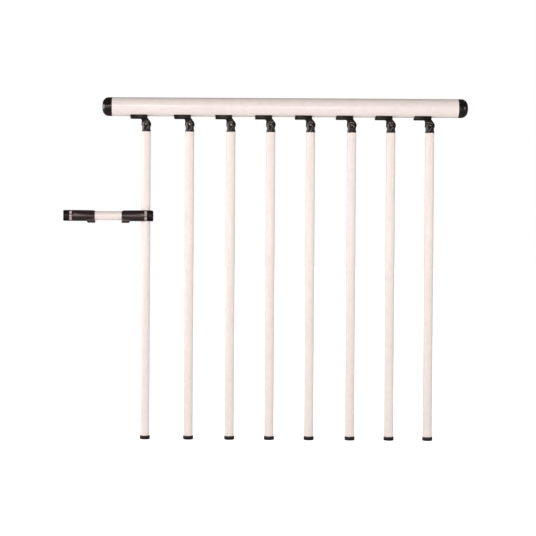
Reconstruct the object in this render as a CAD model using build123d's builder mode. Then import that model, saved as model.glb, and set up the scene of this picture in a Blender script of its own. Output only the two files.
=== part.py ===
"""Landing railing: a round handrail that carries eight tubular balusters on pivoting knuckles,
and a short arm with a split clamp at each end that ties the first baluster to a neighbour.

Millimetres, +Z up. X runs along the handrail to the right, and -Y is the front.
The origin is the middle of the underside of the first baluster's foot.
"""
import os
from itertools import accumulate
from math import cos, radians, sin

from build123d import *

# Handrail
rail_top = 1000.0
rail_diameter = 55.0
rail_wall = 1.5
rail_left_reach = 128.0       # first baluster to the outer end of the left cap
rail_right_reach = 110.0      # last baluster to the outer end of the right cap

# Domed caps in the ends of the handrail
cap_length = 28.5
cap_corner_radius = 19.0
cap_plug_length = 18.0
cap_wall = 3.0
cap_dome_rings = 4

# Balusters, with the distances from each one to the next as they were set
baluster_diameter = 26.0
baluster_wall = 1.2
baluster_pitches = [127.0, 120.5, 116.5, 116.5, 120.0, 114.5, 113.5]

# Foot caps
foot_height = 11.0
foot_brim = 1.8               # beyond the tube all round
foot_edge = 1.8
foot_plug_length = 20.0

# Saddle bracket under the handrail, with the tongue of the knuckle
saddle_tail = 46.0            # reach to the left of the pivot
saddle_nose = 3.0             # reach to the right of the pivot
saddle_width = 29.0
saddle_depth = 7.0            # below the underside of the handrail
saddle_edge_radius = 2.5
saddle_screw_places = [39.0, 26.0]   # to the left of the pivot
saddle_screw_radius = 2.2
neck_back = 13.0              # back of the neck, to the left of the pivot
neck_fillet = 6.0
tongue_radius = 14.0
tongue_thickness = 10.0

# Forked link in the top of each baluster
cheek_radius = 11.0
swing_clearance = 5.0         # cheeks to saddle, all round the swing
slot_clearance = 0.3          # each side of the tongue
slot_floor_clearance = 1.0
collar_thickness = 7.0
collar_band = 4.0             # full round below the flats
flat_inset = 1.5
shoulder_drop = 8.0
spigot_length = 30.0

# Ribbed plugs in the ends of the balusters
plug_rib = 5.0

# Pivot screw of the knuckle, its head in front and its nut behind
pivot_radius = 3.0
pivot_head_radius = 5.0
pivot_head_height = 2.6
pivot_recess_ring = 1.0       # open ring round the head
pivot_recess_depth = 3.0
pivot_slot_width = 1.2
pivot_slot_depth = 0.9
pivot_slot_turn = 40.0
nut_across_flats = 10.0
nut_height = 2.6

# Tie arm
arm_height = 654.0
arm_span = 219.0              # between the axes of its two clamps
arm_tube_diameter = 26.0
arm_tube_wall = 1.2

# Clamps of the arm
clamp_gap = 8.0
clamp_diameter = 46.5         # about the axis of the arm
clamp_height = 31.5           # between the level top and bottom
clamp_eye_length = 12.0
clamp_cap_length = 17.0
clamp_edge_radius = 3.0       # of the outer half's corners, seen from the front and from above
clamp_lip = 2.2               # thickness of the lips that close the gap above and below
clamp_collar_wall = 1.5
clamp_reach = 70.0            # clamp axis to the mouth of the collar
clamp_socket_depth = 44.0
clamp_screw_radius = 2.2
clamp_screw_wall = 1.4        # between the screw and the bore
clamp_screw_head_radius = 3.6
clamp_screw_head_depth = 9.0
boss_length = 20.0
boss_width = 26.0
boss_drop = 21.0              # below the axis of the arm
boss_slope = 4.0
boss_edge_radius = 5.0
boss_screw_radius = 2.5
liner_wall = 1.5
liner_split = 3.0

# Fits
fit_clearance = 0.05          # radial, at pins, plugs and seats

# Worked out from the sizes above
rail_radius = rail_diameter / 2
rail_axis_height = rail_top - rail_radius
baluster_radius = baluster_diameter / 2
saddle_underside = rail_top - rail_diameter - saddle_depth
pivot_height = saddle_underside - swing_clearance - cheek_radius
slot_floor_drop = tongue_radius + slot_floor_clearance
collar_drop = slot_floor_drop + collar_thickness
flat_distance = baluster_radius - flat_inset
baluster_places = list(accumulate(baluster_pitches, initial=0.0))
tube_left_end = cap_length - rail_left_reach
tube_right_end = baluster_places[-1] + rail_right_reach - cap_length
baluster_plug_radius = baluster_radius - baluster_wall - fit_clearance
plug_reach = (baluster_plug_radius ** 2 - (plug_rib / 2) ** 2) ** 0.5
clamp_radius = clamp_diameter / 2
clamp_bore_radius = baluster_radius + liner_wall + 2 * fit_clearance
clamp_screw_offset = clamp_bore_radius + clamp_screw_wall + clamp_screw_radius


def level(x, y, z):
    """Plane through a point, seen from above."""
    return Plane(origin=(x, y, z))


def facing(x, y, z, outward=1):
    """Plane through a point, seen from the front, or from behind with outward = -1."""
    return Plane(origin=(x, y, z), x_dir=(outward, 0, 0), z_dir=(0, -outward, 0))


def across(x, y, z, outward=1):
    """Plane through a point that faces along the handrail, with its own y upwards."""
    return Plane(origin=(x, y, z), x_dir=(0, outward, 0), z_dir=(outward, 0, 0))


def save(piece, name):
    """Label a finished piece and write it as one STEP file."""
    piece.label = name
    export_step(piece, f"parts/{name}.step")


def make_handrail():
    """Round tube between the two caps."""
    with BuildPart() as handrail:
        with BuildSketch(across(tube_left_end, 0, rail_axis_height)):
            Circle(rail_radius)
            Circle(rail_radius - rail_wall, mode=Mode.SUBTRACT)
        extrude(amount=tube_right_end - tube_left_end)
    return handrail.part


def make_rail_cap(joint_x, outward):
    """Blunt dome, flush with the tube, on a hollow plug that fits inside it."""
    plug_radius = rail_radius - rail_wall - fit_clearance
    dome_flat = rail_radius - cap_corner_radius
    dome_start = cap_length - cap_corner_radius
    dome = []
    for step in range(cap_dome_rings + 1):
        angle = radians(90 * step / cap_dome_rings)
        dome.append((dome_start + cap_corner_radius * sin(angle), dome_flat + cap_corner_radius * cos(angle)))
    with BuildPart() as rail_cap:
        with BuildSketch(facing(joint_x, 0, rail_axis_height, outward)):
            Polygon(
                (dome_start, 0),
                (dome_start, plug_radius - cap_wall),
                (-cap_plug_length, plug_radius - cap_wall),
                (-cap_plug_length, plug_radius),
                (0, plug_radius),
                (0, rail_radius),
                *dome,
                (cap_length, 0),
                align=None,
            )
        revolve(axis=Axis((joint_x, 0, rail_axis_height), (1, 0, 0)))
    return rail_cap.part


def make_baluster(x):
    """Straight tube from its foot cap to the collar of its link."""
    with BuildPart() as baluster:
        with BuildSketch(level(x, 0, foot_height)):
            Circle(baluster_radius)
            Circle(baluster_radius - baluster_wall, mode=Mode.SUBTRACT)
        extrude(amount=pivot_height - collar_drop - foot_height)
    return baluster.part


def plug_ribs():
    """Cross-shaped outline of a ribbed plug, whose corners touch the inside of a baluster."""
    with BuildSketch() as ribs:
        Rectangle(2 * plug_reach, plug_rib)
        Rectangle(plug_rib, 2 * plug_reach)
    return ribs.sketch


def make_foot_cap(x):
    """Round shoe under the end of a baluster, on a ribbed plug inside the tube."""
    with BuildPart() as foot_cap:
        with BuildSketch(level(x, 0, 0)):
            Circle(baluster_radius + foot_brim)
        extrude(amount=foot_height)
        chamfer(foot_cap.faces().sort_by(Axis.Z)[0].edges(), foot_edge)
        with BuildSketch(level(x, 0, foot_height)):
            add(plug_ribs())
        extrude(amount=foot_plug_length)
    return foot_cap.part


def make_rail_bracket(x):
    """Saddle screwed up into the handrail, with a neck and the round tongue of the knuckle."""
    saddle_length = saddle_tail + saddle_nose
    above_pivot = saddle_underside - pivot_height
    with BuildPart() as bracket:
        with BuildSketch(level(x + saddle_nose - saddle_length / 2, 0, saddle_underside)):
            Rectangle(saddle_length, saddle_width)
        extrude(amount=rail_radius)
        lower_edges = bracket.faces().sort_by(Axis.Z)[0].edges()
        fillet(lower_edges.filter_by(Axis.X) + lower_edges.sort_by(Axis.X)[:1], saddle_edge_radius)
        with BuildSketch(facing(x, 0, pivot_height)):
            Circle(tongue_radius)
            with Locations(((saddle_nose - neck_back) / 2, above_pivot + saddle_depth / 4)):
                Rectangle(neck_back + saddle_nose, saddle_depth / 2)
            make_hull()
        extrude(amount=tongue_thickness / 2, both=True)
        crease = bracket.edges().filter_by(Axis.Y).sort_by_distance((x - neck_back, 0, saddle_underside))[0]
        fillet(crease, neck_fillet)
        with BuildSketch(across(x - saddle_length, 0, rail_axis_height)):
            Circle(rail_radius + fit_clearance)
        extrude(amount=2 * saddle_length, mode=Mode.SUBTRACT)
        with BuildSketch(facing(x, 0, pivot_height)):
            Circle(pivot_radius + fit_clearance)
        extrude(amount=tongue_thickness, both=True, mode=Mode.SUBTRACT)
        with BuildSketch(level(x, 0, saddle_underside)):
            with Locations(*[(-place, 0) for place in saddle_screw_places]):
                Circle(saddle_screw_radius)
        extrude(amount=rail_radius, mode=Mode.SUBTRACT)
    return bracket.part


def make_link(x):
    """Fork whose cheeks hold the tongue, on a collar and a ribbed plug in the baluster."""
    slot_width = tongue_thickness + 2 * slot_clearance
    fork_height = collar_drop + cheek_radius
    with BuildPart() as link:
        with BuildSketch(level(x, 0, pivot_height - collar_drop)):
            Circle(baluster_radius)
        extrude(amount=fork_height)
        with BuildSketch(facing(x, 0, pivot_height)):
            Circle(cheek_radius)
            with Locations((0, -(shoulder_drop + collar_drop) / 2)):
                Rectangle(baluster_diameter, collar_drop - shoulder_drop)
            make_hull()
        extrude(amount=baluster_radius, both=True, mode=Mode.INTERSECT)
        with BuildSketch(level(x, 0, pivot_height - collar_drop + collar_band)):
            with Locations((0, flat_distance + flat_inset), (0, -flat_distance - flat_inset)):
                Rectangle(baluster_diameter, 2 * flat_inset)
        extrude(amount=fork_height, mode=Mode.SUBTRACT)
        with BuildSketch(level(x, 0, pivot_height - slot_floor_drop)):
            Rectangle(baluster_diameter, slot_width)
        extrude(amount=fork_height, mode=Mode.SUBTRACT)
        with BuildSketch(facing(x, 0, pivot_height)):
            Circle(pivot_radius + fit_clearance)
        extrude(amount=baluster_radius, both=True, mode=Mode.SUBTRACT)
        with BuildSketch(facing(x, -flat_distance, pivot_height)):
            Circle(pivot_head_radius + pivot_recess_ring)
        extrude(amount=-pivot_recess_depth, mode=Mode.SUBTRACT)
        with BuildSketch(facing(x, flat_distance, pivot_height, -1)):
            RegularPolygon(nut_across_flats / 2 + fit_clearance, 6, major_radius=False)
        extrude(amount=-pivot_recess_depth, mode=Mode.SUBTRACT)
        with BuildSketch(level(x, 0, pivot_height - collar_drop)):
            add(plug_ribs())
        extrude(amount=-spigot_length)
    return link.part


def make_pivot_screw(x):
    """Slotted screw through cheeks and tongue, with its nut in the rear cheek."""
    seat = flat_distance - pivot_recess_depth
    with BuildPart() as pivot_screw:
        with BuildSketch(facing(x, -seat, pivot_height)):
            Circle(pivot_head_radius)
        extrude(amount=pivot_head_height)
        with BuildSketch(facing(x, -seat - pivot_head_height, pivot_height)):
            Rectangle(2 * pivot_head_radius, pivot_slot_width, rotation=pivot_slot_turn)
        extrude(amount=-pivot_slot_depth, mode=Mode.SUBTRACT)
        with BuildSketch(facing(x, -seat, pivot_height)):
            Circle(pivot_radius)
        extrude(amount=-2 * seat - nut_height)
        with BuildSketch(facing(x, seat, pivot_height, -1)):
            RegularPolygon(nut_across_flats / 2, 6, major_radius=False)
        extrude(amount=nut_height)
    return pivot_screw.part


def clamp_plane(x, toward, distance):
    """Plane across the arm, at a distance from a clamp's axis towards the arm tube."""
    return across(x + toward * distance, 0, arm_height, toward)


def disc(plane, radius):
    """Round outline on a plane."""
    with BuildSketch(plane) as outline:
        Circle(radius)
    return outline.sketch


def screw_pair(plane, radius):
    """Outlines of the holes for the clamp screws, one in front of the post and one behind."""
    with BuildSketch(plane) as outlines:
        with Locations((clamp_screw_offset, 0), (-clamp_screw_offset, 0)):
            Circle(radius)
    return outlines.sketch


def make_clamp_body(x, toward):
    """Inner half of a clamp, which tapers to the collar that holds the arm tube."""
    collar_radius = arm_tube_diameter / 2 + clamp_collar_wall
    eye_start = clamp_gap / 2
    taper_start = eye_start + clamp_eye_length
    with BuildPart() as clamp_body:
        with BuildSketch(facing(x, 0, arm_height, toward)):
            Polygon(
                (eye_start, 0),
                (eye_start, clamp_radius),
                (taper_start, clamp_radius),
                (clamp_reach, collar_radius),
                (clamp_reach, 0),
                align=None,
            )
        revolve(axis=Axis((x, 0, arm_height), (1, 0, 0)))
        middle = level(x, 0, arm_height)
        extrude(disc(middle, 2 * clamp_reach), amount=clamp_height / 2, both=True, mode=Mode.INTERSECT)
        extrude(disc(middle, clamp_bore_radius), amount=clamp_height, both=True, mode=Mode.SUBTRACT)
        with BuildSketch(facing(x, 0, arm_height, toward)):
            Polygon(
                (clamp_reach, 0),
                (clamp_reach, -boss_drop),
                (clamp_reach - boss_length, -boss_drop),
                (clamp_reach - boss_length - boss_slope, -collar_radius),
                (clamp_reach - boss_length - boss_slope, 0),
                align=None,
            )
        extrude(amount=boss_width / 2, both=True)
        boss_edges = clamp_body.edges().filter_by(Axis.X).group_by(Axis.Z)[0]
        fillet(boss_edges, boss_edge_radius)
        socket = disc(clamp_plane(x, toward, clamp_reach), arm_tube_diameter / 2 + fit_clearance)
        extrude(socket, amount=-clamp_socket_depth, mode=Mode.SUBTRACT)
        screw_holes = screw_pair(clamp_plane(x, toward, eye_start), clamp_screw_radius)
        extrude(screw_holes, amount=clamp_eye_length, mode=Mode.SUBTRACT)
        boss_middle = x + toward * (clamp_reach - boss_length / 2)
        boss_hole = disc(level(boss_middle, 0, arm_height - boss_drop), boss_screw_radius)
        extrude(boss_hole, amount=boss_drop - arm_tube_diameter / 2, mode=Mode.SUBTRACT)
    return clamp_body.part


def make_clamp_cap(x, toward):
    """Outer half of a clamp, rounded at its end, with lips over the gap and its screws let in."""
    half_length = clamp_gap / 2 + clamp_cap_length
    end_plane = clamp_plane(x, toward, -half_length)
    with BuildPart() as clamp_cap:
        extrude(disc(end_plane, clamp_radius), amount=half_length + clamp_gap / 2 - slot_clearance)
        with BuildSketch(facing(x, 0, arm_height)):
            RectangleRounded(2 * half_length, clamp_height, clamp_edge_radius)
        extrude(amount=clamp_radius, both=True, mode=Mode.INTERSECT)
        with BuildSketch(level(x, 0, arm_height)):
            RectangleRounded(2 * half_length, clamp_diameter, clamp_edge_radius)
        extrude(amount=clamp_height, both=True, mode=Mode.INTERSECT)
        with BuildSketch(facing(x, 0, arm_height)):
            Rectangle(clamp_gap, clamp_height - 2 * clamp_lip)
        extrude(amount=clamp_radius, both=True, mode=Mode.SUBTRACT)
        post_bore = disc(level(x, 0, arm_height), clamp_bore_radius)
        extrude(post_bore, amount=clamp_height, both=True, mode=Mode.SUBTRACT)
        extrude(screw_pair(end_plane, clamp_screw_radius), amount=clamp_cap_length, mode=Mode.SUBTRACT)
        recesses = screw_pair(end_plane, clamp_screw_head_radius)
        extrude(recesses, amount=clamp_screw_head_depth, mode=Mode.SUBTRACT)
    return clamp_cap.part


def make_liner(x, toward):
    """Thin split sleeve between a clamp and the post that it grips."""
    with BuildPart() as liner:
        with BuildSketch(level(x, 0, arm_height - clamp_height / 2)):
            Circle(clamp_bore_radius - fit_clearance)
            Circle(baluster_radius + fit_clearance, mode=Mode.SUBTRACT)
            with Locations((toward * clamp_bore_radius, 0)):
                Rectangle(2 * liner_wall + clamp_gap, liner_split, mode=Mode.SUBTRACT)
        extrude(amount=clamp_height)
    return liner.part


def make_arm_tube():
    """Short tube between the sockets of the two clamps."""
    socket_floor = clamp_reach - clamp_socket_depth
    with BuildPart() as arm_tube:
        with BuildSketch(across(socket_floor - arm_span, 0, arm_height)):
            Circle(arm_tube_diameter / 2)
            Circle(arm_tube_diameter / 2 - arm_tube_wall, mode=Mode.SUBTRACT)
        extrude(amount=arm_span - 2 * socket_floor)
    return arm_tube.part


os.makedirs("parts", exist_ok=True)

save(make_handrail(), "handrail")
save(make_rail_cap(tube_left_end, -1), "handrail_cap_left")
save(make_rail_cap(tube_right_end, 1), "handrail_cap_right")

for number, place in enumerate(baluster_places, start=1):
    save(make_rail_bracket(place), f"rail_bracket_{number}")
    save(make_link(place), f"knuckle_link_{number}")
    save(make_pivot_screw(place), f"pivot_screw_{number}")
    save(make_baluster(place), f"baluster_{number}")
    save(make_foot_cap(place), f"foot_cap_{number}")

save(make_arm_tube(), "arm_tube")
for side, place, toward in (("left", -arm_span, 1), ("right", 0.0, -1)):
    save(make_clamp_body(place, toward), f"arm_clamp_{side}")
    save(make_clamp_cap(place, toward), f"arm_clamp_cap_{side}")
    save(make_liner(place, toward), f"arm_clamp_liner_{side}")
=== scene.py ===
"""Looks of a landing railing: white tubes, black moulded fittings and blackened screws.

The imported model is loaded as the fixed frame. Caps, feet and screws are modelled here. Brackets,
links and clamps are copied from it and get moulded edges. Every piece gets a procedural finish.
Metres, +Z up, X along the handrail and -Y to the front.
"""

import logging
from dataclasses import dataclass, field, replace
from enum import Enum
from math import cos, pi, radians, sin
from typing import Sequence

import bpy
from mathutils import Euler, Matrix, Vector


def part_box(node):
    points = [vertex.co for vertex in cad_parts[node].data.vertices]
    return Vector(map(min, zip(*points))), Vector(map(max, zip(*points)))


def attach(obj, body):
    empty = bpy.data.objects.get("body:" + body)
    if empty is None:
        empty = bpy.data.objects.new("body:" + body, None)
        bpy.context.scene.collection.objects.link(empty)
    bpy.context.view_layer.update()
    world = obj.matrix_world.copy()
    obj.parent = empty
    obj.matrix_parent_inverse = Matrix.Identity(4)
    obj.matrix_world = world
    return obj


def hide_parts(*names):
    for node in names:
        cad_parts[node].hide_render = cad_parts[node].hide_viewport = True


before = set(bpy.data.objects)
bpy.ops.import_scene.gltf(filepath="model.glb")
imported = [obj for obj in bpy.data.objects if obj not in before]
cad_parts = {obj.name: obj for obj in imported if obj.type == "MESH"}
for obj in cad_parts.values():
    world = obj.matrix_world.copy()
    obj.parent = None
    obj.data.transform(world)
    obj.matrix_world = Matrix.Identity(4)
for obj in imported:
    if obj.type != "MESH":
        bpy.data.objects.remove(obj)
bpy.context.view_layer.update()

log = logging.getLogger("railing")

MM = 0.001
MERGE_DISTANCE = 1e-6
NODE_MERGE_DISTANCE = 2e-6
FLAT_ANGLE = radians(0.5)
WHITE = (1.0, 1.0, 1.0, 1.0)
BALUSTER_COUNT = 8

Profile = Sequence[tuple[float, float]]
Colour = tuple[float, float, float]


class Side(Enum):
    """End of the handrail or of the tie arm, with the way in which it points along X."""

    LEFT = -1
    RIGHT = 1


class Facing(Enum):
    """Way in which the axis of a turned piece points."""

    DOWN = (pi, 0.0, 0.0)
    RIGHT = (0.0, pi / 2, 0.0)
    LEFT = (0.0, -pi / 2, 0.0)
    FRONT = (pi / 2, 0.0, 0.0)

    def placed(self, place: Vector, turn: float = 0.0) -> Matrix:
        """Give the matrix that puts a piece modelled along +Z in its place.

        Args:
            place: point to which the piece's own origin goes.
            turn: angle in radians about the piece's own axis.

        Returns:
            The placing matrix.
        """
        facing = Euler(self.value).to_matrix().to_4x4()
        return Matrix.Translation(place) @ facing @ Matrix.Rotation(turn, 4, "Z")


def object_mode() -> None:
    """Leave edit mode and select nothing."""
    if bpy.context.mode != "OBJECT":
        bpy.ops.object.mode_set(mode="OBJECT")
    bpy.ops.object.select_all(action="DESELECT")


@dataclass
class Shape:
    """A piece while it is modelled with Blender's own operators.

    Args:
        thing: the mesh object that is worked on.
    """

    thing: bpy.types.Object

    def hold(self) -> None:
        """Make this piece the only selected and the active one."""
        object_mode()
        self.thing.select_set(True)
        bpy.context.view_layer.objects.active = self.thing

    def edit(self, mode: str) -> None:
        """Enter edit mode with everything selected.

        Args:
            mode: what the selection is made of, VERT, EDGE or FACE.
        """
        self.hold()
        bpy.ops.object.mode_set(mode="EDIT")
        bpy.ops.mesh.select_mode(type=mode)
        bpy.ops.mesh.select_all(action="SELECT")

    def remove(self) -> None:
        """Delete the piece."""
        self.hold()
        bpy.ops.object.delete()

    def bevel(self, width: float, steps: int = 2, sharper_than: float = 35.0) -> None:
        """Round the sharp edges with a bevel modifier that is then applied.

        Args:
            width: width of the bevel in metres.
            steps: segments across it.
            sharper_than: least angle in degrees between the faces at an edge that is rounded.
        """
        self.hold()
        bpy.ops.object.modifier_add(type="BEVEL")
        rounding = self.thing.modifiers[-1]
        rounding.width = width
        rounding.segments = steps
        rounding.limit_method = "ANGLE"
        rounding.angle_limit = radians(sharper_than)
        rounding.use_clamp_overlap = True
        rounding.harden_normals = False
        bpy.ops.object.modifier_apply(modifier=rounding.name)

    def cut(self, cutter: "Shape") -> None:
        """Take a cutter's form away with a boolean modifier, and delete the cutter.

        Args:
            cutter: shape that is taken away.
        """
        self.hold()
        bpy.ops.object.modifier_add(type="BOOLEAN")
        taking = self.thing.modifiers[-1]
        taking.operation = "DIFFERENCE"
        taking.solver = "EXACT"
        taking.object = cutter.thing
        bpy.ops.object.modifier_apply(modifier=taking.name)
        cutter.remove()

    def place(self, matrix: Matrix) -> "Shape":
        """Apply a place to the mesh, so that the object itself stays at the origin.

        Args:
            matrix: where the piece goes.

        Returns:
            The same shape.
        """
        self.hold()
        self.thing.matrix_world = matrix
        bpy.ops.object.transform_apply(location=True, rotation=True, scale=True)
        return self

    def copy(self, name: str) -> "Shape":
        """Copy the piece with a mesh of its own.

        Args:
            name: name of the copy.

        Returns:
            The copy.
        """
        self.hold()
        bpy.ops.object.duplicate(linked=False)
        twin = bpy.context.view_layer.objects.active
        twin.name = name
        twin.data.name = name
        return Shape(twin)

    def finish(self, smooth_under: float = 35.0) -> bpy.types.Object:
        """Clean the mesh, turn its faces outwards and shade the piece.

        Args:
            smooth_under: angle in degrees under which neighbouring faces are shaded as one.

        Returns:
            The finished object.
        """
        self.edit("VERT")
        bpy.ops.mesh.remove_doubles(threshold=MERGE_DISTANCE)
        bpy.ops.mesh.dissolve_degenerate(threshold=MERGE_DISTANCE)
        bpy.ops.mesh.normals_make_consistent(inside=False)
        self.hold()
        bpy.ops.object.shade_smooth_by_angle(angle=radians(smooth_under))
        object_mode()
        return self.thing


def turned(name: str, profile: Profile, sides: int) -> Shape:
    """Turn a closed solid along +Z, from a disc that is extruded and resized step by step.

    Args:
        name: name of the piece.
        profile: places along the axis with the radius at each, in metres.
        sides: facets round the axis.

    Returns:
        The solid, in its own frame.
    """
    object_mode()
    height, radius = profile[0]
    bpy.ops.mesh.primitive_circle_add(
        vertices=sides, radius=radius, fill_type="NGON", location=(0, 0, height)
    )
    shape = Shape(bpy.context.view_layer.objects.active)
    shape.thing.name = name
    shape.thing.data.name = name
    shape.place(Matrix.Translation((0, 0, height)))
    shape.edit("FACE")
    for next_height, next_radius in profile[1:]:
        step = (0, 0, next_height - height)
        bpy.ops.mesh.extrude_region_move(TRANSFORM_OT_translate={"value": step})
        grow = next_radius / radius
        bpy.ops.transform.resize(value=(grow, grow, 1), center_override=(0, 0, next_height))
        height, radius = next_height, next_radius
    shape.hold()
    return shape


def rounded_corner(
    along: float, out: float, radius: float, start: float, end: float, steps: int
) -> list[tuple[float, float]]:
    """Give the points of an arc in a turned profile.

    Args:
        along: place of the arc's middle on the axis.
        out: distance of the arc's middle from the axis.
        radius: radius of the arc.
        start: first angle in degrees, 0 pointing outwards and 90 up the axis.
        end: last angle in degrees.
        steps: pieces of the arc.

    Returns:
        Pairs of place and radius for a profile.
    """
    angles = [radians(start + (end - start) * step / steps) for step in range(steps + 1)]
    return [(along + radius * sin(angle), out + radius * cos(angle)) for angle in angles]


def block(name: str, size: tuple[float, float, float]) -> Shape:
    """Make a box about the origin, used as a cutter.

    Args:
        name: name of the piece.
        size: its lengths along X, Y and Z.

    Returns:
        The box.
    """
    object_mode()
    bpy.ops.mesh.primitive_cube_add(size=1, location=(0, 0, 0))
    shape = Shape(bpy.context.view_layer.objects.active)
    shape.thing.name = name
    shape.thing.scale = size
    shape.hold()
    bpy.ops.object.transform_apply(location=True, rotation=True, scale=True)
    return shape


def moulded_copy(name: str, node: str) -> Shape:
    """Copy a CAD node, with its loose triangles merged and its flat faces made whole.

    Args:
        name: name of the new piece.
        node: name of the CAD node.

    Returns:
        The copy, in the node's place.
    """
    thing = bpy.data.objects.new(name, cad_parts[node].data.copy())
    thing.data.name = name
    thing.data.materials.clear()
    bpy.context.scene.collection.objects.link(thing)
    shape = Shape(thing)
    shape.edit("VERT")
    bpy.ops.mesh.remove_doubles(threshold=NODE_MERGE_DISTANCE)
    bpy.ops.mesh.dissolve_limited(angle_limit=FLAT_ANGLE)
    shape.hold()
    return shape


@dataclass
class Tree:
    """A node tree while it is filled.

    Args:
        nodes: the tree's nodes.
        links: the tree's links.
    """

    nodes: bpy.types.Nodes
    links: bpy.types.NodeLinks

    def add(
        self, kind: str, values: dict[str, object] | None = None, **settings: object
    ) -> bpy.types.Node:
        """Add a node.

        Args:
            kind: Blender's name for the kind of node.
            values: default values of its input sockets, or an output socket that feeds one.
            settings: properties of the node.

        Returns:
            The node.
        """
        node = self.nodes.new(kind)
        for key, value in settings.items():
            setattr(node, key, value)
        for key, value in (values or {}).items():
            self.feed(value, node.inputs[key])
        return node

    def feed(self, value: object, into: bpy.types.NodeSocket) -> None:
        """Set an input socket, or link an output socket to it."""
        if isinstance(value, bpy.types.NodeSocket):
            self.links.new(value, into)
        else:
            into.default_value = value

    def math(
        self, operation: str, first: object, second: object, clamp: bool = False
    ) -> bpy.types.NodeSocket:
        """Add a sum of two numbers or sockets and give its result."""
        node = self.add("ShaderNodeMath", operation=operation, use_clamp=clamp)
        self.feed(first, node.inputs[0])
        self.feed(second, node.inputs[1])
        return node.outputs[0]

    def own_place(self) -> bpy.types.NodeSocket:
        """Give the place on the surface, in the object's own frame."""
        return self.add("ShaderNodeTexCoord").outputs["Object"]

    def upward(self, vector: bpy.types.NodeSocket) -> bpy.types.NodeSocket:
        """Give how far a direction points up."""
        return self.add("ShaderNodeSeparateXYZ", {"Vector": vector}).outputs["Z"]

    def noise(
        self, vector: bpy.types.NodeSocket, scale: object, detail: float, roughness: float = 0.55
    ) -> bpy.types.NodeSocket:
        """Add a noise texture and give its grey value."""
        values = {"Vector": vector, "Scale": scale, "Detail": detail, "Roughness": roughness}
        return self.add("ShaderNodeTexNoise", values).outputs["Fac"]

    def ramp(
        self, value: object, low: object, high: object, to_low: object = 0.0, to_high: object = 1.0
    ) -> bpy.types.NodeSocket:
        """Map a value from one range to another, kept within it."""
        values = {
            "Value": value, "From Min": low, "From Max": high, "To Min": to_low, "To Max": to_high
        }
        return self.add("ShaderNodeMapRange", values).outputs["Result"]

    def switch(self, ray: bpy.types.NodeSocket, off: object, on: object) -> bpy.types.NodeSocket:
        """Give the value called on for rays of a kind, and the one called off for all others."""
        return self.ramp(ray, 0.0, 1.0, off, on)

    def mix(self, mask: object, first: object, second: object) -> bpy.types.NodeSocket:
        """Mix two colours by a mask and give the result."""
        node = self.add("ShaderNodeMix", data_type="RGBA")
        self.feed(mask, node.inputs[0])
        self.feed(first, node.inputs[6])
        self.feed(second, node.inputs[7])
        return node.outputs[2]

    def overlap(self, first: object, second: object, amount: object) -> bpy.types.NodeSocket:
        """Give the share that two masks have in common, times an amount, kept within 0 to 1."""
        return self.math("MULTIPLY", self.math("MULTIPLY", first, second), amount, clamp=True)


def emptied(holder: bpy.types.Material | bpy.types.World) -> Tree:
    """Give the emptied node tree of a material or world."""
    holder.use_nodes = True
    holder.node_tree.nodes.clear()
    return Tree(holder.node_tree.nodes, holder.node_tree.links)


def new_group(
    name: str, inputs: dict[str, float], outputs: Sequence[str]
) -> tuple[bpy.types.NodeTree, Tree, bpy.types.Node, bpy.types.Node]:
    """Start a shader node group with number sockets.

    Args:
        name: name of the group.
        inputs: names of the input sockets with their default values.
        outputs: names of the output sockets.

    Returns:
        The group, its tree, its input node and its output node.
    """
    group = bpy.data.node_groups.new(name, "ShaderNodeTree")
    for key, value in inputs.items():
        socket = group.interface.new_socket(key, in_out="INPUT", socket_type="NodeSocketFloat")
        socket.default_value = value
    for key in outputs:
        group.interface.new_socket(key, in_out="OUTPUT", socket_type="NodeSocketFloat")
    tree = Tree(group.nodes, group.links)
    return group, tree, tree.add("NodeGroupInput"), tree.add("NodeGroupOutput")


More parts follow.
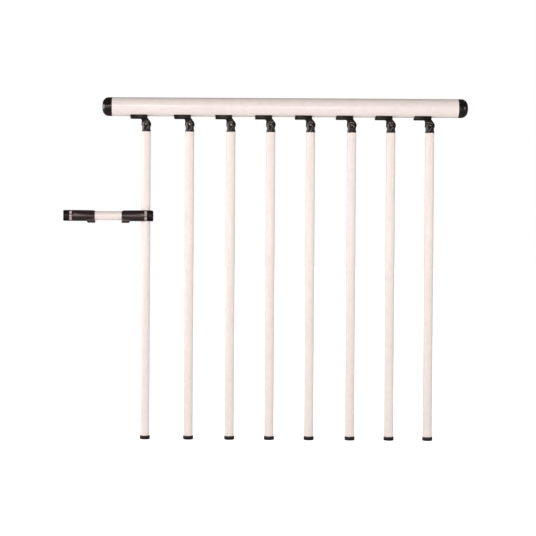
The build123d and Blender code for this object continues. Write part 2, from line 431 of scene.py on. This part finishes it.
class Effects:
    """Surface effects that the finishes share, each a node group that is built once."""

    def __init__(self) -> None:
        """Build the groups."""
        self.grain = self.build_grain()
        self.edge_wear = self.build_edge_wear()
        self.dust = self.build_dust()
        self.scuffs = self.build_scuffs()

    def build_grain(self) -> bpy.types.NodeTree:
        """Build the grain of a coated or moulded surface: a coarse wave under a fine stipple."""
        inputs = {"Coarse Scale": 300.0, "Fine Scale": 2500.0, "Fine Share": 0.4}
        group, tree, given, result = new_group("surface_grain", inputs, ["Height", "Tone"])
        place = tree.own_place()
        coarse = tree.noise(place, given.outputs["Coarse Scale"], detail=2.0)
        fine = tree.noise(place, given.outputs["Fine Scale"], detail=1.0)
        share = tree.math("MULTIPLY", fine, given.outputs["Fine Share"])
        tree.feed(tree.math("ADD", coarse, share), result.inputs["Height"])
        tree.feed(tree.noise(place, scale=9.0, detail=4.0), result.inputs["Tone"])
        return group

    def build_edge_wear(self) -> bpy.types.NodeTree:
        """Build the mask of rubbed edges, from how sharply the surface turns."""
        inputs = {"Amount": 1.0, "Patch Scale": 60.0}
        group, tree, given, result = new_group("edge_wear", inputs, ["Mask"])
        turn = tree.add("ShaderNodeNewGeometry").outputs["Pointiness"]
        edge = tree.ramp(turn, low=0.52, high=0.62)
        cloud = tree.noise(tree.own_place(), given.outputs["Patch Scale"], detail=5.0)
        patch = tree.ramp(cloud, low=0.45, high=0.65)
        tree.feed(tree.overlap(edge, patch, given.outputs["Amount"]), result.inputs["Mask"])
        return group

    def build_dust(self) -> bpy.types.NodeTree:
        """Build the mask of dust that lies on what faces up."""
        inputs = {"Amount": 0.3, "Patch Scale": 40.0}
        group, tree, given, result = new_group("dust", inputs, ["Mask"])
        upward = tree.upward(tree.add("ShaderNodeNewGeometry").outputs["Normal"])
        cover = tree.ramp(upward, low=0.35, high=0.95)
        scale = given.outputs["Patch Scale"]
        cloud = tree.noise(tree.own_place(), scale, detail=6.0, roughness=0.65)
        patch = tree.ramp(cloud, low=0.3, high=0.75)
        tree.feed(tree.overlap(cover, patch, given.outputs["Amount"]), result.inputs["Mask"])
        return group

    def build_scuffs(self) -> bpy.types.NodeTree:
        """Build the mask of thin scuffs and handling marks."""
        inputs = {"Amount": 0.3, "Scale": 25.0}
        group, tree, given, result = new_group("scuffs", inputs, ["Mask"])
        place = tree.own_place()
        stretch = {"Vector": place, "Rotation": (0.5, 0.35, 0.8), "Scale": (1.0, 9.0, 2.5)}
        stretched = tree.add("ShaderNodeMapping", stretch).outputs["Vector"]
        streaks = tree.noise(stretched, given.outputs["Scale"], detail=7.0, roughness=0.7)
        lines = tree.ramp(streaks, low=0.56, high=0.66)
        spots = tree.ramp(tree.noise(place, scale=14.0, detail=2.0), low=0.52, high=0.68)
        tree.feed(tree.overlap(lines, spots, given.outputs["Amount"]), result.inputs["Mask"])
        return group


def rgba(colour: Colour, level: float = 1.0) -> tuple[float, float, float, float]:
    """Give a colour with alpha, made lighter or darker by a factor."""
    return (colour[0] * level, colour[1] * level, colour[2] * level, 1.0)


DUST_COLOUR = rgba((0.55, 0.52, 0.48))
DUST_ROUGHNESS = 0.3
RUBBED_ROUGHNESS = 0.15
TONE_ROUGHNESS = 0.03
TONE_RANGE = (0.3, 0.7)


@dataclass(frozen=True)
class Finish:
    """A finish made of a ground colour with grain, wear, dust and scuffs.

    Args:
        name: name of the material.
        slot: name of a material slot, not used.
        colour: ground colour.
        worn_colour: colour of rubbed edges and scuffs.
        roughness: roughness of the clean surface.
        grain_scale: scale of the coarse grain.
        fine_scale: scale of the stipple on it.
        grain_height: height of the grain in metres.
        tone_spread: how far the ground colour varies over the piece.
        wear: amount of edge wear.
        dust: amount of dust.
        scuff: amount of scuffs.
        metallic: whether it is bare metal, 0 or 1.
        coat: weight of a clear coat.
        coat_roughness: roughness of the clear coat.
        specular: level of the reflection.
    """

    name: str
    slot: str
    colour: Colour
    worn_colour: Colour
    roughness: float
    grain_scale: float = 300.0
    fine_scale: float = 2500.0
    grain_height: float = 0.00001
    tone_spread: float = 0.04
    wear: float = 0.3
    dust: float = 0.1
    scuff: float = 0.2
    metallic: float = 0.0
    coat: float = 0.0
    coat_roughness: float = 0.12
    specular: float = 0.5

    def build(self, effects: Effects) -> bpy.types.Material:
        """Build the material.

        Args:
            effects: the shared effect groups.

        Returns:
            The material.
        """
        material = bpy.data.materials.new(self.name)
        tree = emptied(material)
        scales = {"Coarse Scale": self.grain_scale, "Fine Scale": self.fine_scale}
        grain = tree.add("ShaderNodeGroup", scales, node_tree=effects.grain)
        wear = tree.add("ShaderNodeGroup", {"Amount": self.wear}, node_tree=effects.edge_wear)
        dust = tree.add("ShaderNodeGroup", {"Amount": self.dust}, node_tree=effects.dust)
        scuffs = tree.add("ShaderNodeGroup", {"Amount": self.scuff}, node_tree=effects.scuffs)

        darker = rgba(self.colour, 1 - self.tone_spread)
        lighter = rgba(self.colour, 1 + self.tone_spread)
        ground = tree.mix(tree.ramp(grain.outputs["Tone"], *TONE_RANGE), darker, lighter)
        rubbed = tree.math("MAXIMUM", wear.outputs["Mask"], scuffs.outputs["Mask"])
        colour = tree.mix(rubbed, ground, rgba(self.worn_colour))
        colour = tree.mix(dust.outputs["Mask"], colour, DUST_COLOUR)

        smooth, coarse = self.roughness - TONE_ROUGHNESS, self.roughness + TONE_ROUGHNESS
        clean = tree.ramp(grain.outputs["Tone"], *TONE_RANGE, smooth, coarse)
        rough = tree.math("ADD", tree.math("MULTIPLY", rubbed, RUBBED_ROUGHNESS), clean)
        dusty = tree.math("MULTIPLY", dust.outputs["Mask"], DUST_ROUGHNESS)
        rough = tree.math("ADD", rough, dusty, clamp=True)

        relief = {"Height": grain.outputs["Height"], "Distance": self.grain_height, "Strength": 1.0}
        surface = tree.add("ShaderNodeBsdfPrincipled", {
            "Base Color": colour,
            "Roughness": rough,
            "Metallic": self.metallic,
            "Normal": tree.add("ShaderNodeBump", relief).outputs["Normal"],
            "Coat Weight": self.coat,
            "Coat Roughness": self.coat_roughness,
            "Specular IOR Level": self.specular,
        })
        output = tree.add("ShaderNodeOutputMaterial")
        tree.feed(surface.outputs["BSDF"], output.inputs["Surface"])
        return material


WHITE_COAT = Finish(
    "white_powder_coat", "white_tube",
    colour=(0.87, 0.84, 0.81), worn_colour=(0.66, 0.63, 0.6), roughness=0.33,
    grain_scale=420.0, grain_height=0.000012, tone_spread=0.012,
    wear=0.15, dust=0.05, scuff=0.12, coat=0.3,
)
BLACK_NYLON = Finish(
    "black_nylon", "black_plastic",
    colour=(0.0075, 0.0056, 0.005), worn_colour=(0.045, 0.04, 0.038), roughness=0.22,
    grain_scale=900.0, fine_scale=4000.0, grain_height=0.00002, tone_spread=0.15,
    wear=0.4, dust=0.04, scuff=0.25, specular=0.8,
)
# Copy of the black nylon for the clamp bodies, with painted sheen: a lighter, browner colour stands
# in for the sheen on them, together with a rougher and stronger reflection.
PAINTED_SHEEN_NYLON = replace(
    BLACK_NYLON, name="painted_sheen_nylon", colour=(0.017, 0.0074, 0.0066), roughness=0.32, specular=1.0
)
# Copy of the black nylon for the brackets and the clamps' outer halves, with painted shade: a much
# weaker reflection keeps them evenly dark, as if in shade.
PAINTED_SHADE_NYLON = replace(BLACK_NYLON, name="painted_shade_nylon", roughness=0.3, specular=0.2)
BLACKENED = Finish(
    "blackened_steel", "screw_steel",
    colour=(0.075, 0.07, 0.066), worn_colour=(0.32, 0.3, 0.28), roughness=0.3,
    grain_scale=1500.0, fine_scale=5000.0, grain_height=0.000008, tone_spread=0.12,
    wear=0.5, dust=0.05, scuff=0.3, metallic=1.0,
)
ZINC = replace(
    BLACKENED, name="zinc_screw", colour=(0.62, 0.6, 0.59), worn_colour=(0.36, 0.33, 0.3)
)
PALE_NYLON = Finish(
    "pale_nylon", "liner_plastic",
    colour=(0.86, 0.74, 0.72), worn_colour=(0.6, 0.5, 0.47), roughness=0.45,
    grain_scale=700.0, wear=0.1, scuff=0.15,
)


@dataclass
class Wardrobe:
    """The built materials, put on CAD nodes and new pieces.

    Args:
        effects: the shared effect groups.
    """

    effects: Effects
    made: dict[str, bpy.types.Material] = field(default_factory=dict)

    def material(self, finish: Finish) -> bpy.types.Material:
        """Give the material of a finish, built when first asked for."""
        if finish.name not in self.made:
            self.made[finish.name] = finish.build(self.effects)
        return self.made[finish.name]

    def dress_node(self, node: str, finish: Finish) -> None:
        """Give a CAD node its finish.

        Args:
            node: name of the node.
            finish: its finish.
        """
        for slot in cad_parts[node].material_slots:
            slot.material = self.material(finish)
        log.info("node %s in %s", node, finish.name)

    def dress(
        self, thing: bpy.types.Object, finish: Finish, body: str, nodes: Sequence[str] = ()
    ) -> None:
        """Give a new piece its finish, its body and the nodes that it stands for.

        Args:
            thing: the finished object.
            finish: its finish.
            body: the CAD body that it rides on.
            nodes: CAD nodes that it replaces.
        """
        thing.data.materials.clear()
        thing.data.materials.append(self.material(finish))
        if nodes:
            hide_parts(*nodes)
        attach(thing, body)
        log.info("piece %s in %s on %s", thing.name, finish.name, body)


def baluster_body(number: int) -> str:
    """Give the body that a baluster belongs to: the first is the post, the others swing."""
    return "post_1" if number == 1 else f"baluster_{number}_swing"


def outward(side: Side) -> Facing:
    """Give the way in which an end of the handrail or of the tie arm points."""
    return Facing.LEFT if side is Side.LEFT else Facing.RIGHT


@dataclass
class Handrail:
    """The handrail tube with its domed end caps.

    Args:
        wall: wall of the tube.
        corner: radius of the dome's round shoulder.
        crown: share of the dome's flat that its last ring takes in.
        plug: depth of the cap inside the tube.
        plug_play: play between plug and tube.
        plug_rim: width of the rim round the plug's end.
        joint_gap: width of the fine line between tube and cap.
        sides: facets round a cap.
    """

    wall: float = 1.5 * MM
    corner: float = 19 * MM
    crown: float = 0.5
    plug: float = 18 * MM
    plug_play: float = 0.1 * MM
    plug_rim: float = 3 * MM
    joint_gap: float = 0.35 * MM
    sides: int = 96

    def build(self, wardrobe: Wardrobe) -> None:
        """Dress the tube and model both caps."""
        wardrobe.dress_node("handrail", WHITE_COAT)
        for side in Side:
            self.build_cap(side, wardrobe)

    def build_cap(self, side: Side, wardrobe: Wardrobe) -> None:
        """Model one cap as a turned dome on its plug.

        Args:
            side: the end of the handrail.
            wardrobe: the materials.
        """
        node = f"handrail_cap_{side.name.lower()}"
        low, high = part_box(node)
        length = high[0] - low[0] - self.plug
        radius = (high[2] - low[2]) / 2
        joint = low[0] + length if side is Side.LEFT else high[0] - length
        inner = radius - self.wall - self.plug_play
        profile = [(-self.plug, inner - self.plug_rim), (-self.plug, inner), (0.0, inner)]
        profile += [(0.0, radius - self.joint_gap), (self.joint_gap, radius)]
        flat = radius - self.corner
        profile += rounded_corner(length - self.corner, flat, self.corner, 0, 90, steps=20)
        profile += [(length, flat * self.crown)]
        cap = turned(f"cap_{side.name.lower()}", profile, self.sides)
        cap.place(outward(side).placed(Vector((joint, 0, (low[2] + high[2]) / 2))))
        wardrobe.dress(cap.finish(smooth_under=40), BLACK_NYLON, "handrail", [node])


@dataclass
class Knuckles:
    """Saddle brackets, forked links, pivot screws and saddle screws under the handrail.

    Args:
        edge: width of the moulded edges.
        head_radius: radius of a pivot screw's head.
        head_height: height of its dome.
        head_edge: radius of the dome's round edge.
        shank_radius: radius of the pivot itself.
        slot_size: width, length and depth of the cutter for the head's slot.
        slot_height: height of that cutter's middle above the head's seat.
        nut_radius: radius of the nut's corners.
        head_turn: angle at which slot and nut stand.
        pin_radius: radius of the bright pin end.
        saddle_depth: depth of the saddles' underside below the handrail.
        saddle_screw_places: places of the saddle screws to the left of the pivot.
        cross_size: width, length and depth of the cutters for a saddle screw's cross recess.
    """

    edge: float = 0.7 * MM
    head_radius: float = 5 * MM
    head_height: float = 2.6 * MM
    head_edge: float = 2.2 * MM
    shank_radius: float = 3 * MM
    slot_size: tuple[float, float, float] = (1.3 * MM, 14 * MM, 2 * MM)
    slot_height: float = 2.4 * MM
    nut_radius: float = 5.75 * MM
    head_turn: float = radians(40)
    pin_radius: float = 1.6 * MM
    saddle_depth: float = 7 * MM
    saddle_screw_places: tuple[float, ...] = (39 * MM, 26 * MM)
    cross_size: tuple[float, float, float] = (0.8 * MM, 4.2 * MM, 3.0 * MM)

    def build(self, places: Sequence[float], wardrobe: Wardrobe) -> None:
        """Model one knuckle and copy it to each baluster.

        Args:
            places: places of the balusters along X.
            wardrobe: the materials.
        """
        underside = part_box("handrail")[0][2] - self.saddle_depth
        bracket = self.shaped("bracket_1", "rail_bracket_1")
        for left in self.saddle_screw_places:
            bracket.cut(self.countersink(Vector((places[0] - left, 0, underside))))
        link = self.shaped("link_1", "knuckle_link_1")
        screw = self.pivot_screw()
        pin_end = self.pin_end()
        saddle_screw = self.saddle_screw()
        for number, place in enumerate(places, start=1):
            body = baluster_body(number)
            shift = Matrix.Translation((place, 0, 0))
            rows = (
                # bracket: nylon with painted shade, a weaker reflection than the links'
                (bracket, "bracket", PAINTED_SHADE_NYLON, "handrail", "rail_bracket"),
                (link, "link", BLACK_NYLON, body, "knuckle_link"),
                (screw, "pivot", BLACKENED, body, "pivot_screw"),
            )
            for first, word, finish, owner, node in rows:
                piece = first.copy(f"{word}_{number}_shown").place(shift)
                wardrobe.dress(piece.finish(), finish, owner, [f"{node}_{number}"])
            wardrobe.dress(pin_end.copy(f"pin_end_{number}").place(shift).finish(), ZINC, body)
            for count, left in enumerate(self.saddle_screw_places, start=1):
                head = Facing.DOWN.placed(
                    Vector((place - left, 0, underside)), self.driven_turn(number, count)
                )
                piece = saddle_screw.copy(f"saddle_screw_{number}_{count}").place(head)
                wardrobe.dress(piece.finish(), BLACKENED, "handrail")
        for first in (bracket, link, screw, pin_end, saddle_screw):
            first.remove()

    def driven_turn(self, number: int, count: int) -> float:
        """Give the angle at which a saddle screw stopped, another for each, as if driven by hand."""
        return radians(25 * number + 70 * count)

    def shaped(self, name: str, node: str) -> Shape:
        """Give a fitting its moulded edges."""
        fitting = moulded_copy(name, node)
        fitting.bevel(self.edge)
        return fitting

    def pivot_screw(self) -> Shape:
        """Model the pivot screw: domed head with a slot in front, hexagonal nut behind."""
        low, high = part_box("pivot_screw_1")
        seat = (high[1] - low[1]) / 2 - self.head_height
        head = [(-seat, self.shank_radius), (seat, self.shank_radius), (seat, self.head_radius)]
        flat = self.head_radius - self.head_edge
        head += rounded_corner(seat, flat, self.head_edge, 15, 90, steps=6)
        head += [(seat + 2.3 * MM, 1.2 * MM)]
        screw = turned("pivot", head, sides=40)
        above = Matrix.Translation((0, 0, seat + self.slot_height))
        screw.cut(block("slot_cutter", self.slot_size).place(above))
        nut = turned("nut", [
            (-seat - 2.6 * MM, 4.6 * MM),         # chamfered face
            (-seat - 2.2 * MM, self.nut_radius),
            (-seat, self.nut_radius),
        ], sides=6)
        nut.thing.select_set(True)
        screw.thing.select_set(True)
        bpy.context.view_layer.objects.active = screw.thing
        bpy.ops.object.join()
        return screw.place(Facing.FRONT.placed(self.pivot_middle(), self.head_turn))

    def pivot_middle(self) -> Vector:
        """Give the middle of the first pivot, in the railing's plane."""
        low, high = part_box("pivot_screw_1")
        return Vector(((low[0] + high[0]) / 2, 0, (low[2] + high[2]) / 2))

    def pin_end(self) -> Shape:
        """Model the bright end of the pivot, riveted over in the middle of its head."""
        low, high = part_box("pivot_screw_1")
        top = (high[1] - low[1]) / 2
        pin = turned("pin_end", [
            (top - 1.5 * MM, self.pin_radius),    # foot, inside the head
            (top - 0.15 * MM, self.pin_radius),
            (top, 1.45 * MM),                     # rounded shoulder
            (top + 0.1 * MM, 1.0 * MM),
        ], sides=28)
        return pin.place(Facing.FRONT.placed(self.pivot_middle()))

    def countersink(self, place: Vector) -> Shape:
        """Model the cutter for a saddle screw's countersink, at its place under the saddle."""
        cutter = turned("sink_cutter", [
            (-2.5 * MM, 1.9 * MM),                # bottom, a little wider than the shank
            (0.0, 4.1 * MM),
            (1.0 * MM, 4.1 * MM),                 # clear of the underside
        ], sides=32)
        return cutter.place(Facing.DOWN.placed(place))

    def saddle_screw(self) -> Shape:
        """Model a countersunk screw with a cross recess, its head towards its own +Z."""
        screw = turned("saddle_screw", [
            (-12 * MM, 1.0 * MM),                 # tip
            (-10 * MM, 1.8 * MM),
            (-2.4 * MM, 1.8 * MM),                # under the head
            (-0.5 * MM, 3.7 * MM),
            (-0.2 * MM, 3.7 * MM),
            (-0.1 * MM, 3.5 * MM),                # face of the head
        ], sides=32)
        for turn in (0, 90):
            place = Matrix.Translation((0, 0, 0.2 * MM)) @ Matrix.Rotation(radians(turn), 4, "Z")
            screw.cut(block("cross_cutter", self.cross_size).place(place))
        return screw


@dataclass
class Balusters:
    """The balusters with their feet.

    Args:
        radius: radius of a tube.
        brim: how far a foot stands out beyond the tube.
        height: height of a foot.
        edge: radius of its lower edge.
        top_edge: radius of its upper edge.
        hollow: depth of its recessed underside.
        plug: length of its plug inside the tube.
    """

    radius: float = 13 * MM
    brim: float = 1.8 * MM
    height: float = 11 * MM
    edge: float = 2.4 * MM
    top_edge: float = 0.8 * MM
    hollow: float = 0.8 * MM
    plug: float = 20 * MM

    def build(self, places: Sequence[float], wardrobe: Wardrobe) -> None:
        """Dress the tubes and model a foot for each.

        Args:
            places: places of the balusters along X.
            wardrobe: the materials.
        """
        foot = self.foot()
        for number, place in enumerate(places, start=1):
            wardrobe.dress_node(f"baluster_{number}", WHITE_COAT)
            piece = foot.copy(f"foot_{number}").place(Matrix.Translation((place, 0, 0)))
            shoe = piece.finish(smooth_under=30)
            wardrobe.dress(shoe, BLACK_NYLON, baluster_body(number), [f"foot_cap_{number}"])
        foot.remove()

    def foot(self) -> Shape:
        """Model a foot as a turned shoe with a recessed underside, a soft rim and a plug."""
        outer = self.radius + self.brim
        profile = [
            (self.hollow, outer - 6 * MM),        # recessed underside
            (self.hollow, outer - 5.2 * MM),
            (0.0, outer - 4.4 * MM),              # ring that stands on the floor
        ]
        profile += rounded_corner(self.edge, outer - self.edge, self.edge, -90, 0, steps=6)
        top, side = self.height - self.top_edge, outer - self.top_edge
        profile += rounded_corner(top, side, self.top_edge, 0, 90, steps=4)
        profile += [
            (self.height, self.radius - 1.4 * MM),
            (self.height + self.plug, self.radius - 1.6 * MM),
        ]
        return turned("foot", profile, sides=64)


@dataclass
class TieArm:
    """The short arm with a split clamp at each end, its screws and liners.

    Args:
        height: height of the arm's axis.
        span: distance between the clamps' axes.
        screw_offset: distance of a clamp screw from the clamp's axis.
        cap_end: distance of a clamp's outer end from its axis.
        recess: depth of the recess for a screw head.
        boss_middle: distance of the boss's middle from the clamp's axis.
        boss_drop: distance of the boss's underside below the arm's axis.
        clamp_edge: width of the moulded edges of a clamp.
        end_edge: width of those of its outer half.
        screw_turn: angle at which the sockets of the clamp screws stand.
        set_screw_turn: angle at which those of the set screws stand.
    """

    height: float = 654 * MM
    span: float = 219 * MM
    screw_offset: float = 18.2 * MM
    cap_end: float = 21 * MM
    recess: float = 9 * MM
    boss_middle: float = 60 * MM
    boss_drop: float = 21 * MM
    clamp_edge: float = 1.0 * MM
    end_edge: float = 1.2 * MM
    screw_turn: float = radians(20)
    set_screw_turn: float = radians(15)

    def build(self, wardrobe: Wardrobe) -> None:
        """Dress the tube and model both clamps."""
        wardrobe.dress_node("arm_tube", WHITE_COAT)
        for side, place in ((Side.LEFT, -self.span), (Side.RIGHT, 0.0)):
            self.build_clamp(side, place, wardrobe)

    def build_clamp(self, side: Side, place: float, wardrobe: Wardrobe) -> None:
        """Model one clamp with its screws.

        Args:
            side: the end of the arm.
            place: place of the clamp's axis along X.
            wardrobe: the materials.
        """
        word = side.name.lower()
        rows = (
            # clamp body: nylon with painted sheen, a lighter and browner colour
            (f"arm_clamp_{word}", f"clamp_{word}", self.clamp_edge, PAINTED_SHEEN_NYLON),
            # outer half: nylon with painted shade, a weaker reflection
            (f"arm_clamp_cap_{word}", f"clamp_end_{word}", self.end_edge, PAINTED_SHADE_NYLON),
        )
        for node, name, width, finish in rows:
            shell = moulded_copy(name, node)
            shell.bevel(width, steps=3)
            wardrobe.dress(shell.finish(), finish, "arm", [node])
        wardrobe.dress_node(f"arm_clamp_liner_{word}", PALE_NYLON)

        seat = place + side.value * (self.cap_end - self.recess)
        for word_y, y in (("front", -self.screw_offset), ("back", self.screw_offset)):
            screw = self.clamp_screw(f"clamp_screw_{word}_{word_y}")
            head = Vector((seat, y, self.height))
            screw.place(outward(side).placed(head, self.screw_turn))
            wardrobe.dress(screw.finish(), ZINC, "arm")

        boss = Vector((place - side.value * self.boss_middle, 0, self.height - self.boss_drop))
        grub = self.set_screw(f"set_screw_{word}")
        grub.place(Facing.DOWN.placed(boss, self.set_screw_turn))
        wardrobe.dress(grub.finish(), BLACKENED, "arm")

    def clamp_screw(self, name: str) -> Shape:
        """Model a cap screw with a hexagonal socket in its head, which points to its own +Z."""
        screw = turned(name, [
            (-26 * MM, 1.5 * MM),                 # tip
            (-25 * MM, 2.1 * MM),
            (0.0, 2.1 * MM),                      # seat of the head
            (0.0, 3.5 * MM),
            (3.6 * MM, 3.5 * MM),
            (4.0 * MM, 3.1 * MM),                 # face of the head
        ], sides=32)
        self.cut_socket(screw, radius=1.6 * MM, top=4.0 * MM)
        return screw

    def set_screw(self, name: str) -> Shape:
        """Model a grub screw in the boss, with a hexagonal socket in its end."""
        screw = turned(name, [
            (-7.5 * MM, 2.0 * MM),                # tip
            (-7.0 * MM, 2.4 * MM),
            (-0.9 * MM, 2.4 * MM),
            (-0.5 * MM, 2.0 * MM),                # end, inside the boss
        ], sides=28)
        self.cut_socket(screw, radius=1.2 * MM, top=-0.5 * MM)
        return screw

    def cut_socket(self, screw: Shape, radius: float, top: float) -> None:
        """Cut a hexagonal socket into a screw's end.

        Args:
            screw: the screw.
            radius: radius of the socket's corners.
            top: height of the end that is cut.
        """
        depth, clear = 1.8 * MM, 1 * MM
        cutter = turned("socket_cutter", [(top - depth, radius), (top + clear, radius)], sides=6)
        screw.cut(cutter)


@dataclass(frozen=True)
class Lamp:
    """A soft rectangular lamp.

    Args:
        name: name of the lamp.
        place: where it hangs.
        size: its width and height.
        watts: its power.
    """

    name: str
    place: tuple[float, float, float]
    size: tuple[float, float]
    watts: float


LAMPS = (
    Lamp("front_left", (-1.75, -4.4, 0.62), (0.4, 0.22), 18),
    Lamp("front_right", (0.78, -4.4, 0.62), (0.4, 0.22), 18),
    Lamp("key", (-0.22, -4.4, 1.7), (0.36, 0.3), 24),
    Lamp("fill", (-3.4, -3.4, 1.3), (1.4, 1.4), 26),
    Lamp("left", (-5.3, 0.9, 1.1), (6.0, 2.4), 160),
    Lamp("right", (4.2, -2.4, 1.1), (1.3, 1.3), 26),
)


@dataclass
class Studio:
    """Floor, white surroundings, lamps and the camera.

    Args:
        camera_place: place of the camera.
        pitch: tilt of the camera in radians, up positive.
        roll: turn of the picture in radians.
        sensor: width of the sensor in millimetres.
        focal: focal length in picture widths.
        shift: sideways shift of the frame in picture widths.
        sight: how far the camera sees.
        lamp_aim: point at which all lamps are turned.
        wall_level: light that the surroundings give off level with the eye.
        ceiling_level: light that they give off from above.
        ceiling_rise: upward share of a direction at which the overhead level is reached.
        mirrored_share: share of that light that a reflection sees.
        room_colour: colour of the light from the surroundings.
        lamp_colour: colour of the lamps.
        floor_size: length of the floor's sides.
        floor_white: whiteness of the floor.
        floor_level: light that the floor gives off beside what it reflects.
        floor_seen: the same where the camera sees it.
        floor_mirrored: whiteness of the floor in reflections.
    """

    camera_place: tuple[float, float, float] = (0.228, -4.529, 0.5829)
    pitch: float = -0.0177
    roll: float = 0.0058
    sensor: float = 36.0
    focal: float = 1547.0 / 536.0
    shift: float = 0.083
    sight: float = 200.0
    lamp_aim: tuple[float, float, float] = (0.35, 0.0, 0.55)
    wall_level: float = 0.61
    ceiling_level: float = 0.36
    ceiling_rise: float = 0.8
    mirrored_share: float = 0.1
    room_colour: Colour = (1.0, 0.92, 0.89)
    lamp_colour: Colour = (1.0, 0.87, 0.85)
    floor_size: float = 60.0
    floor_white: float = 0.9
    floor_level: float = 0.22
    floor_seen: float = 0.75
    floor_mirrored: float = 0.3

    def build(self) -> None:
        """Set up all of it."""
        self.build_floor()
        self.build_world()
        for lamp in LAMPS:
            self.hang(lamp)
        self.build_camera()
        bpy.context.scene.view_settings.view_transform = "Standard"

    def build_floor(self) -> None:
        """Lay a white floor that keeps the shadow and is pure white elsewhere."""
        object_mode()
        bpy.ops.mesh.primitive_plane_add(size=self.floor_size, location=(0, 0, 0))
        floor = bpy.context.view_layer.objects.active
        floor.name = "floor"
        material = bpy.data.materials.new("floor_white")
        tree = emptied(material)
        rays = tree.add("ShaderNodeLightPath").outputs
        whiteness = tree.switch(rays["Is Glossy Ray"], self.floor_white, self.floor_mirrored)
        paper = tree.add("ShaderNodeBsdfDiffuse", {"Color": whiteness})
        unseen = tree.switch(rays["Is Glossy Ray"], self.floor_level, 0.0)
        strength = tree.switch(rays["Is Camera Ray"], unseen, self.floor_seen)
        glow = tree.add("ShaderNodeEmission", {"Color": WHITE, "Strength": strength})
        both = tree.add("ShaderNodeAddShader")
        tree.feed(paper.outputs[0], both.inputs[0])
        tree.feed(glow.outputs[0], both.inputs[1])
        tree.feed(both.outputs[0], tree.add("ShaderNodeOutputMaterial").inputs["Surface"])
        floor.data.materials.append(material)

    def build_world(self) -> None:
        """Fill the surroundings with light, dimmer overhead, and white where the camera sees it."""
        world = bpy.data.worlds.new("white_room")
        bpy.context.scene.world = world
        tree = emptied(world)
        rays = tree.add("ShaderNodeLightPath").outputs
        upward = tree.upward(tree.add("ShaderNodeTexCoord").outputs["Generated"])
        room = tree.ramp(upward, 0.0, self.ceiling_rise, self.wall_level, self.ceiling_level)
        mirrored = tree.switch(rays["Is Glossy Ray"], 1.0, self.mirrored_share)
        dimmed = tree.math("MULTIPLY", room, mirrored)
        strength = tree.math("MAXIMUM", rays["Is Camera Ray"], dimmed)
        colour = tree.mix(rays["Is Camera Ray"], rgba(self.room_colour), WHITE)
        light = tree.add("ShaderNodeBackground", {"Color": colour, "Strength": strength})
        tree.feed(light.outputs[0], tree.add("ShaderNodeOutputWorld").inputs["Surface"])

    def hang(self, lamp: Lamp) -> None:
        """Hang one lamp and turn it at the middle of the railing.

        Args:
            lamp: the lamp.
        """
        light = bpy.data.lights.new(lamp.name, "AREA")
        light.shape = "RECTANGLE"
        light.size, light.size_y = lamp.size
        light.color = self.lamp_colour
        light.energy = lamp.watts
        holder = bpy.data.objects.new(lamp.name, light)
        holder.location = lamp.place
        beam = Vector(self.lamp_aim) - Vector(lamp.place)
        holder.rotation_euler = beam.to_track_quat("-Z", "Y").to_euler()
        bpy.context.scene.collection.objects.link(holder)

    def build_camera(self) -> None:
        """Set the camera as the photograph was taken."""
        lens = bpy.data.cameras.new("camera")
        lens.sensor_fit = "HORIZONTAL"
        lens.sensor_width = self.sensor
        lens.lens = self.sensor * self.focal
        lens.shift_x = self.shift
        lens.clip_end = self.sight
        camera = bpy.data.objects.new("camera", lens)
        camera.location = self.camera_place
        tilt = Matrix.Rotation(pi / 2 + self.pitch, 4, "X")
        camera.rotation_euler = (tilt @ Matrix.Rotation(self.roll, 4, "Z")).to_euler()
        bpy.context.scene.collection.objects.link(camera)
        bpy.context.scene.camera = camera


@dataclass
class Railing:
    """The whole railing, built piece by piece.

    Args:
        places: places of the balusters along X.
    """

    places: Sequence[float]

    def build(self) -> None:
        """Build the sub-assemblies in order."""
        wardrobe = Wardrobe(Effects())
        Handrail().build(wardrobe)
        Knuckles().build(self.places, wardrobe)
        Balusters().build(self.places, wardrobe)
        TieArm().build(wardrobe)


def baluster_places() -> list[float]:
    """Read the places of the balusters along X from the CAD nodes."""
    boxes = [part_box(f"baluster_{number}") for number in range(1, BALUSTER_COUNT + 1)]
    return [(low[0] + high[0]) / 2 for low, high in boxes]


def main() -> None:
    """Build the railing and its studio."""
    logging.basicConfig(level=logging.INFO, format="%(message)s")
    Railing(baluster_places()).build()
    Studio().build()


if __name__ == "__main__":
    main()
